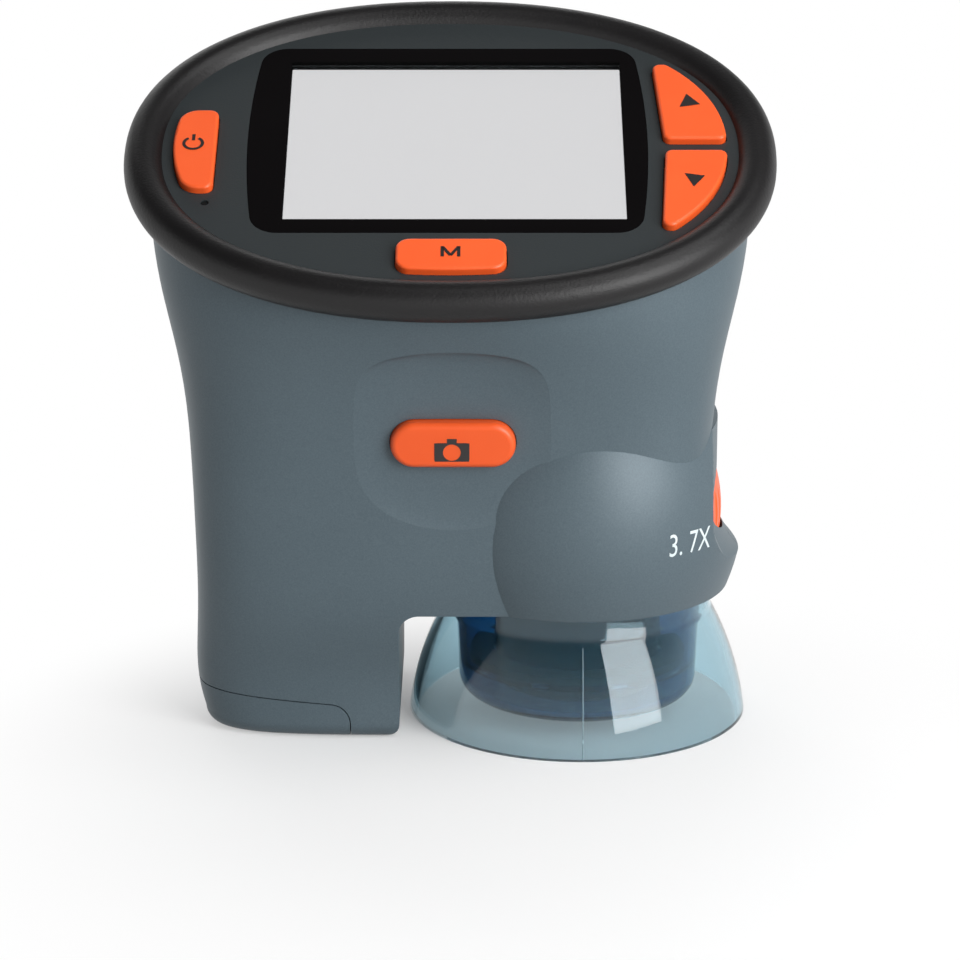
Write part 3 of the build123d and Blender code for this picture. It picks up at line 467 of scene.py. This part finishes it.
def arc_through(first, middle, last, steps):
    """Points of the circular arc through three points, each a radius and a height."""
    (ax, ay), (bx, by), (cx, cy) = first, middle, last
    double = 2 * (ax * (by - cy) + bx * (cy - ay) + cx * (ay - by))
    a, b, c = ax * ax + ay * ay, bx * bx + by * by, cx * cx + cy * cy
    centre_x = (a * (by - cy) + b * (cy - ay) + c * (ay - by)) / double
    centre_y = (a * (cx - bx) + b * (ax - cx) + c * (bx - ax)) / double
    radius = ((ax - centre_x) ** 2 + (ay - centre_y) ** 2) ** 0.5
    start, end = atan2(ay - centre_y, ax - centre_x), atan2(cy - centre_y, cx - centre_x)
    turns = [start + (end - start) * step / steps for step in range(steps + 1)]
    return [(centre_x + radius * cos(turn), centre_y + radius * sin(turn)) for turn in turns]


def revolved(name, profile, steps=192):
    """A closed ring: an outline of radii and heights, in millimetres, turned about the optical axis."""
    ring = bmesh.new()
    rows = []
    for step in range(steps):
        outward = outward_at(2 * pi * step / steps)
        rows.append([ring.verts.new((OPTIC + r * outward + Vector((0, 0, z))) * MM) for r, z in profile])
    for row, after in zip(rows, rows[1:] + rows[:1]):
        for here in range(len(profile)):
            there = (here + 1) % len(profile)
            ring.faces.new((row[here], after[here], after[there], row[there]))
    bmesh.ops.recalc_face_normals(ring, faces=ring.faces)
    return finished_mesh(name, ring, RING_CREASE)


def finished_mesh(name, drawing, crease):
    """Turn a bmesh into an object, smooth apart from edges sharper than the crease, in degrees."""
    mesh = drawn(name, drawing)
    mesh.shade_smooth()
    mesh.set_sharp_from_angle(angle=radians(crease))
    piece = placed(name, mesh)
    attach(piece, "housing")
    print(name, "faces", len(mesh.polygons))
    return piece


# %% The swelling's ideal form
UNDERSIDE, BULGE_TOP = 20.5, 46.3
FOOT_RADIUS, BULGE_RADIUS, CROWN_RADIUS = 22.6, 24.9, 22.0
SIDE_WALL_X, FLARE_START, FLARE_RADIUS = 38.3, 34.0, 12.1
BULGE_STEPS, FLARE_SHARE, NO_WALL = 60, 0.95, 100.0
bulge_side = arc_through(
    (FOOT_RADIUS, UNDERSIDE),
    (BULGE_RADIUS, (UNDERSIDE + BULGE_TOP) / 2),
    (CROWN_RADIUS, BULGE_TOP),
    BULGE_STEPS,
)
print("swelling from radius", FOOT_RADIUS, "to", CROWN_RADIUS)


def turned_radius(height):
    """The bulge's radius at one height."""
    for (r0, z0), (r1, z1) in zip(bulge_side, bulge_side[1:]):
        if z0 <= height <= z1:
            return r0 + (r1 - r0) * (height - z0) / (z1 - z0)
    return 0.0


def wall_reach(turn, height):
    """How far the flat beside the wheel lets the bulge reach in one direction."""
    if sin(turn) <= 0:
        return NO_WALL
    below = min(max(FLARE_START - height, 0.0), FLARE_SHARE * FLARE_RADIUS)
    flare = FLARE_RADIUS - (FLARE_RADIUS**2 - below**2) ** 0.5
    return min((SIDE_WALL_X + flare - OPTIC.x) / sin(turn), NO_WALL)


# %% [markdown]
# The cover lies a hair off what it covers (COVER_LIFT) and is COVER_DEPTH thick. Where the ideal
# form comes within TOUCH of the solid or passes it, the cover is seen. Elsewhere it runs DIVE
# below the skin, and no face lies nearer to the axis than INNERMOST.

# %% Cover for the focus drive
COVER_LIFT, COVER_DEPTH, DIVE, TOUCH = 0.02, 0.5, 0.6, 0.02
COVER_LEFT, COVER_RIGHT, TURN_STEP = -75, 61.4, 0.8
COVER_TOP, COVER_STEP, INNERMOST = 47.5, 0.4, 18.0
RAY_START, EDGE_MARGIN = 60, 0.02
shell_tree = BVHTree.FromObject(NODES["front_shell"], bpy.context.evaluated_depsgraph_get())
turn_count = int((COVER_RIGHT - COVER_LEFT) / TURN_STEP) + 1
height_count = int((COVER_TOP - UNDERSIDE) / COVER_STEP) + 1
turns = [radians(COVER_LEFT + TURN_STEP * step) for step in range(turn_count)]
heights = [UNDERSIDE + COVER_STEP * step for step in range(height_count)]


def solid_reach(outward, height):
    """How far the solid reaches from the optical axis, or 0 where a ray meets nothing."""
    level = max(height, UNDERSIDE + EDGE_MARGIN)
    start = OPTIC + RAY_START * outward + Vector((0, 0, level))
    hit = shell_tree.ray_cast(start * MM, -outward)
    return RAY_START - hit[3] / MM if hit[0] else 0.0


cover = bmesh.new()
grid, shown, places = [], [], []
for turn in turns:
    outward = outward_at(turn)
    solids = [solid_reach(outward, height) for height in heights]
    ideals = [min(turned_radius(height), wall_reach(turn, height)) for height in heights]
    seen = [ideal > solid - TOUCH for solid, ideal in zip(solids, ideals)]
    reach = [
        max(solid, ideal) + COVER_LIFT if here else max(ideal, solid - DIVE)
        for solid, ideal, here in zip(solids, ideals, seen)
    ]
    points = [OPTIC + r * outward + Vector((0, 0, height)) for r, height in zip(reach, heights)]
    grid.append([cover.verts.new(point * MM) for point in points])
    shown.append(seen)
    places.append(reach)
for i in range(turn_count - 1):
    for j in range(height_count - 1):
        corners = [(i, j), (i + 1, j), (i + 1, j + 1), (i, j + 1)]
        if any(shown[a][b] for a, b in corners) and min(places[a][b] for a, b in corners) > INNERMOST:
            cover.faces.new([grid[a][b] for a, b in corners])
bmesh.ops.delete(cover, geom=[v for v in cover.verts if not v.link_faces], context="VERTS")
bmesh.ops.solidify(cover, geom=cover.faces[:], thickness=COVER_DEPTH * MM)
focus_cover = finished_mesh("focus_cover", cover, COVER_CREASE)
focus_cover.data.materials.append(LACQUER)

# %% [markdown]
# ## The skirt's dome
#
# The skirt is a dome with a plain rim. Its solid has a flat flange there, so this dome replaces
# it. The outline is two arcs, one wall apart, turned about the optical axis.

# %% Skirt
SKIRT_FOOT, SKIRT_MIDDLE, SKIRT_NECK = (25.5, 0.0), (23.45, 9.0), (19.9, 16.8)
SKIRT_WALL, NECK_TOP, FLANGE_RADIUS, FLANGE_HEIGHT, SKIRT_STEPS = 1.2, 22.5, 20.7, 0.8, 24


def skirt_arc(inset):
    return arc_through(*((r - inset, z) for r, z in (SKIRT_FOOT, SKIRT_MIDDLE, SKIRT_NECK)), SKIRT_STEPS)


neck_in = SKIRT_NECK[0] - SKIRT_WALL
skirt_outline = skirt_arc(0) + [
    (SKIRT_NECK[0], NECK_TOP),
    (FLANGE_RADIUS, NECK_TOP),
    (FLANGE_RADIUS, NECK_TOP + FLANGE_HEIGHT),
    (neck_in, NECK_TOP + FLANGE_HEIGHT),
] + skirt_arc(SKIRT_WALL)[::-1]
skirt_dome = revolved("skirt_dome", skirt_outline)
skirt_dome.data.materials.append(SKIRT)
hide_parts("clear_skirt")

# %% [markdown]
# ## Marks on the keys
#
# The marks are pad-printed in charcoal, a hair thick. Each is drawn flat as a few outlines, and
# then every vertex is dropped onto the solid that carries it. So a mark follows the surface
# that it is printed on, and it rides on the same body.

# %% Printing marks
PRINT_LIFT, LONGEST_EDGE, SPLIT_ROUNDS, DROP_HEIGHT = 0.05, 0.7, 2, 6
ink = Finish("charcoal_ink")
rub = ink.noise(0.0005, 2.0)
INK = ink.done(
    ink.surface(Base_Color=ink.blend(rub, srgb(30, 26, 26), srgb(40, 34, 33)), Roughness=0.45 + 0.1 * rub)
)


def polygons(*rings):
    """A flat bmesh, in millimetres, of filled outlines."""
    drawing = bmesh.new()
    for ring in rings:
        drawing.faces.new([drawing.verts.new((x, y, 0)) for x, y in ring])
    return drawing


def printed_mark(name, drawing, ray, carriers, body, material):
    """Lay a flat drawing on its carriers. The ray gives a drawn point's start and direction."""
    for _ in range(SPLIT_ROUNDS):
        long_edges = [edge for edge in drawing.edges if edge.calc_length() > LONGEST_EDGE]
        bmesh.ops.subdivide_edges(drawing, edges=long_edges, cuts=1)
        bmesh.ops.triangulate(drawing, faces=drawing.faces[:])
    depsgraph = bpy.context.evaluated_depsgraph_get()
    surfaces = [BVHTree.FromObject(carrier, depsgraph) for carrier in carriers]
    for vertex in drawing.verts:
        start, direction = ray(vertex.co.x, vertex.co.y)
        hits = [surface.ray_cast(start * MM, direction) for surface in surfaces]
        reached = [hit for hit in hits if hit[0]]
        if not reached:
            raise ValueError(name + " misses its surface")
        nearest = min(reached, key=lambda hit: hit[3])
        vertex.co = nearest[0] - PRINT_LIFT * MM * direction
    mesh = drawn(name, drawing)
    piece = placed(name, mesh)
    mesh.materials.append(material)
    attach(piece, body)
    print(name, "points", len(mesh.vertices))


def flat_print(origin, right, up):
    """Rays that drop a drawing straight onto a surface, from above its own plane."""
    normal = right.cross(up)
    return lambda x, y: (origin + x * right + y * up + DROP_HEIGHT * normal, -normal)


def bar(start, end, width):
    """A straight stroke with square ends."""
    start, end = Vector(start), Vector(end)
    side = (end - start).orthogonal().normalized() * (width / 2)
    return [start + side, end + side, end - side, start - side]


def ring_stroke(centre, radius, width, start, end, steps=24):
    """A curved stroke, as quads, between two angles in degrees."""
    turns = [radians(start + (end - start) * step / steps) for step in range(steps + 1)]
    inner, outer = radius - width / 2, radius + width / 2
    quads = []
    for a, b in zip(turns, turns[1:]):
        corners = ((inner, a), (outer, a), (outer, b), (inner, b))
        quads.append([(centre[0] + r * cos(t), centre[1] + r * sin(t)) for r, t in corners])
    return quads


# %% Marks on the plate's keys
STROKE = 0.46
plate_print = flat_print(PLATE_ORIGIN, ACROSS, UP_SLOPE)
power_ring = ring_stroke((-37.2, -0.55), 1.35, STROKE, 122, 418)
power_bar = bar((-37.2, 0.1), (-37.2, 1.55), STROKE)
letter_m = [
    bar((-0.95, -26.2), (-0.95, -23.95), STROKE),
    bar((1.35, -26.2), (1.35, -23.95), STROKE),
    bar((-0.9, -24.1), (0.2, -25.95), STROKE),
    bar((1.3, -24.1), (0.2, -25.95), STROKE),
]
for name, rings, node, body in (
    ("mark_up", [[(33.55, 8.1), (36.6, 8.75), (34.7, 11.3)]], "up_button", "up_key"),
    ("mark_down", [[(33.6, -7.5), (34.8, -10.6), (36.5, -8.1)]], "down_button", "down_key"),
    ("mark_power", power_ring + [power_bar], "power_button", "power_key"),
    ("mark_menu", letter_m, "menu_button", "menu_key"),
):
    printed_mark(name, polygons(*rings), plate_print, [NODES[node]], body, INK)

# %% [markdown]
# ## The camera mark
#
# A small camera is printed on the shutter key: a body with a hump, and a round lens that is left
# bare, so it shows the key's own orange. The body is a ring of quads from the lens to its edge.

# %% Shutter mark
LEAN = radians(9)
SHUTTER_UP = Vector((0, -sin(LEAN), cos(LEAN)))
SHUTTER_MIDDLE = Vector((0.3, -20.4, 47.4))
BODY_HALF, BODY_LOW, BODY_HIGH = 2.5, -2.25, 0.65
HUMP_HALF, HUMP_HIGH = 0.7, 1.3
LENS_LEVEL, LENS_RADIUS = -0.84, 1.27


def edge_reach(turn):
    """How far the camera's body reaches from its lens centre in one direction."""
    high = BODY_HIGH - LENS_LEVEL if sin(turn) > 0 else LENS_LEVEL - BODY_LOW
    return min(BODY_HALF / max(abs(cos(turn)), 0.001), high / max(abs(sin(turn)), 0.001))


def camera_body(steps=48):
    """Quads from the bare lens to the edge of the camera's body."""
    turns = [2 * pi * step / steps for step in range(steps + 1)]
    quads = []
    for a, b in zip(turns, turns[1:]):
        corners = ((LENS_RADIUS, a), (edge_reach(a), a), (edge_reach(b), b), (LENS_RADIUS, b))
        quads.append([(r * cos(t), LENS_LEVEL + r * sin(t)) for r, t in corners])
    return quads


hump = [
    (-HUMP_HALF, BODY_HIGH),
    (HUMP_HALF, BODY_HIGH),
    (HUMP_HALF, HUMP_HIGH),
    (-HUMP_HALF, HUMP_HIGH),
]
printed_mark(
    "mark_shutter",
    polygons(*camera_body(), hump),
    flat_print(SHUTTER_MIDDLE, ACROSS, SHUTTER_UP),
    [NODES["shutter_button"]],
    "shutter_key",
    INK,
)

# %% [markdown]
# ## Magnification figures
#
# White figures by the wheel give the magnification. They wrap round the bulge, so a drawn point
# becomes a direction about the optical axis, and its ray runs from outside towards that axis.

# %% Magnification figures
white = Finish("white_ink")
wear = white.noise(0.0006, 2.0)
WHITE = white.done(
    white.surface(
        Base_Color=white.blend(wear, srgb(206, 220, 224), srgb(232, 240, 242)),
        Roughness=0.5 + 0.1 * wear,
    )
)
FIGURE_TURN, FIGURE_LEVEL = radians(39.5), 31.7
FIGURES_WIDE, FIGURES_HIGH, FIGURE_RAY = 8.0, 3.4, 40


def lettering(text, width, height):
    """Plain letters as a flat bmesh with its middle at 0, stretched to a width and height."""
    curve = bpy.data.curves.new(text, "FONT")
    curve.body = text
    curve.resolution_u = 4
    holder = placed(text, curve)
    bpy.context.view_layer.update()
    drawing = bmesh.new()
    drawing.from_mesh(holder.to_mesh())
    holder.to_mesh_clear()
    bpy.data.objects.remove(holder)
    across = [vertex.co.x for vertex in drawing.verts]
    up = [vertex.co.y for vertex in drawing.verts]
    for vertex in drawing.verts:
        vertex.co.x = width * ((vertex.co.x - min(across)) / (max(across) - min(across)) - 0.5)
        vertex.co.y = height * ((vertex.co.y - min(up)) / (max(up) - min(up)) - 0.5)
    return drawing


def bulge_print(x, y):
    """A ray towards the optical axis for a drawn point."""
    outward = outward_at(FIGURE_TURN + x / BULGE_RADIUS)
    return OPTIC + Vector((0, 0, FIGURE_LEVEL + y)) + FIGURE_RAY * outward, -outward


printed_mark(
    "mark_magnification",
    lettering("3. 7X", FIGURES_WIDE, FIGURES_HIGH),
    bulge_print,
    [focus_cover, NODES["front_shell"]],
    "housing",
    WHITE,
)

# %% [markdown]
# ## Mould line on the skirt
#
# The skirt comes from a mould in halves, which leaves a fine upright line on its front. It is a
# thin ridge. Its points are found by casting rays at the skirt, level by level. Its light, half-clear
# colour is a painted highlight where the ridge catches the light; the skirt's plastic is clear there.

# %% Mould line
LINE_RADIUS, LINE_X, LINE_RAY = 0.07, 0.2, -40
LINE_FOOT, LINE_STEP, LINE_COUNT = 0.3, 0.5, 32
AWAY = Vector((0, 1, 0))
skirt_tree = BVHTree.FromObject(skirt_dome, bpy.context.evaluated_depsgraph_get())
profile = [Vector((x, y, 0)) * LINE_RADIUS * MM for x, y in ((-1, 0), (0, -1), (1, 0))]
ridge = bmesh.new()
rows = []
for step in range(LINE_COUNT):
    start = (OPTIC + Vector((LINE_X, LINE_RAY, LINE_FOOT + LINE_STEP * step))) * MM
    point = skirt_tree.ray_cast(start, AWAY)[0]
    rows.append([ridge.verts.new(point + corner) for corner in profile])
for row, after in zip(rows, rows[1:]):
    for here in range(3):
        there = (here + 1) % 3
        ridge.faces.new((row[here], row[there], after[there], after[here]))
ridge.faces.new(rows[0][::-1])
ridge.faces.new(rows[-1])
bmesh.ops.recalc_face_normals(ridge, faces=ridge.faces)
mould_line = finished_mesh("skirt_mould_line", ridge, RING_CREASE)
# Painted highlight: the ridge gets a light, half-clear colour instead of the skirt's clear plastic.
painted_ridge_highlight = Finish("mould_line_painted_highlight")
uneven = painted_ridge_highlight.noise(0.001, 1.0)
mould_line.data.materials.append(
    painted_ridge_highlight.done(
        painted_ridge_highlight.surface(
            Base_Color=painted_ridge_highlight.blend(uneven, srgb(176, 206, 216), srgb(196, 220, 228)),
            Roughness=0.2 + 0.1 * uneven,
            Transmission_Weight=0.5,
        )
    )
)
print("mould line points", LINE_COUNT)

# %% [markdown]
# ## Studio
#
# A white paper sweep and three softboxes: the main one at the right, a weaker one above it and
# a faint, wide one behind. Near the object the floor takes its real shadow, and it is also kept a
# little grey there, a painted shade set off towards the front right; further out it fades to plain
# white. What camera, glossy and transmitted rays see of the surround is white at the horizon and
# below, and dim overhead, as a studio's ceiling is. Other rays get an even, weaker light from it,
# and little of the floor's own light, so the object isn't lit from below.


# %% Floor
def seen_directly(finish):
    """1 for camera, glossy and transmitted rays, 0 for the rest."""
    path = finish.add("ShaderNodeLightPath").socket.node.outputs
    kinds = ("Is Camera Ray", "Is Glossy Ray", "Is Transmission Ray")
    first, second, third = (Value(finish, path[kind]) for kind in kinds)
    return first + second + third


def grey(level):
    return (level, level, level, 1)


def plain_light(finish, kind, strength):
    """An even white light, from a surface or from the world."""
    return finish.add(kind, None, {"Color": grey(1), "Strength": strength})


# Near the object the paper is matte plus only a weak glow, so it stays a little grey: a painted shade round
# the object, centred off to the front right. Between the inner and outer distances it fades to plain white.
FLOOR_HALF, PAPER, DULL_PAPER, PAPER_GLOW = 4.0, 0.8, 0.3, 0.2
PAINTED_SHADE_CENTRE, PAINTED_SHADE_INNER, PAINTED_SHADE_OUTER = (0.015, -0.035, 0.0), 0.032, 0.1
floor_drawing = bmesh.new()
bmesh.ops.create_grid(floor_drawing, x_segments=1, y_segments=1, size=FLOOR_HALF)
floor_mesh = drawn("floor", floor_drawing)
floor = placed("floor", floor_mesh)
paper = Finish("floor_paper")
matte = paper.add("ShaderNodeBsdfDiffuse", None, {"Color": grey(PAPER)})
dull = paper.add("ShaderNodeBsdfDiffuse", None, {"Color": grey(DULL_PAPER)})
glow = plain_light(paper, "ShaderNodeEmission", PAPER_GLOW)
lit_paper = paper.add("ShaderNodeAddShader", None, {0: matte, 1: glow})
plain_white = plain_light(paper, "ShaderNodeEmission", 1.0)
offset = paper.add("ShaderNodeVectorMath", {"operation": "SUBTRACT"}, {0: paper.place(), 1: PAINTED_SHADE_CENTRE})
distance = paper.add("ShaderNodeVectorMath", {"operation": "LENGTH"}, {0: offset}, "Value")
# 0 near the painted shade's centre, 1 where the floor is plain white.
fade = paper.add(
    "ShaderNodeMapRange",
    {"interpolation_type": "SMOOTHSTEP"},
    {"Value": distance, "From Min": PAINTED_SHADE_INNER, "From Max": PAINTED_SHADE_OUTER},
)
paper_with_painted_shade = paper.add("ShaderNodeMixShader", None, {0: fade, 1: lit_paper, 2: plain_white})
floor_mesh.materials.append(
    paper.done(paper.add("ShaderNodeMixShader", None, {0: seen_directly(paper), 1: dull, 2: paper_with_painted_shade}))
)
print("floor fades to white at", PAINTED_SHADE_OUTER)

# %% World
AMBIENT, CEILING = 0.3, 0.05
CEILING_START, CEILING_END = 0.15, 0.6
world = bpy.data.worlds.new("studio")
bpy.context.scene.world = world
surround = Finish("studio", world)
heading = surround.add("ShaderNodeSeparateXYZ", None, {0: surround.add("ShaderNodeTexCoord")}, "Z")
overhead = surround.add(
    "ShaderNodeMapRange",
    {"interpolation_type": "SMOOTHSTEP"},
    {"Value": heading, "From Min": CEILING_START, "From Max": CEILING_END},
)
horizon = plain_light(surround, "ShaderNodeBackground", 1.0)
ceiling = plain_light(surround, "ShaderNodeBackground", CEILING)
ambient = plain_light(surround, "ShaderNodeBackground", AMBIENT)
sweep = surround.add("ShaderNodeMixShader", None, {0: overhead, 1: horizon, 2: ceiling})
direct = seen_directly(surround)
surround.done(surround.add("ShaderNodeMixShader", None, {0: direct, 1: ambient, 2: sweep}))
print("world", world.name)

# %% Lamps
AIM = Vector((0.0, 0.0, 0.05))


def softbox(name, azimuth, elevation, distance, width, height, watts):
    """A rectangular lamp that faces the object. Azimuth turns right from the user's side."""
    data = bpy.data.lights.new(name, "AREA")
    data.shape = "RECTANGLE"
    data.size, data.size_y = width, height
    data.energy = watts
    lamp_box = placed(name, data)
    rise = radians(elevation)
    outward = cos(rise) * outward_at(radians(azimuth)) + Vector((0, 0, sin(rise)))
    lamp_box.location = AIM + distance * outward
    lamp_box.rotation_euler = outward.to_track_quat("Z", "Y").to_euler()


softbox("lamp_right", 42, 18, 0.6, 0.38, 0.42, 3.6)
softbox("lamp_above", 60, 62, 0.75, 0.4, 0.4, 1.8)
softbox("lamp_behind", 192, 34, 0.8, 0.6, 0.4, 1.0)
print("lamps", len(bpy.data.lights))
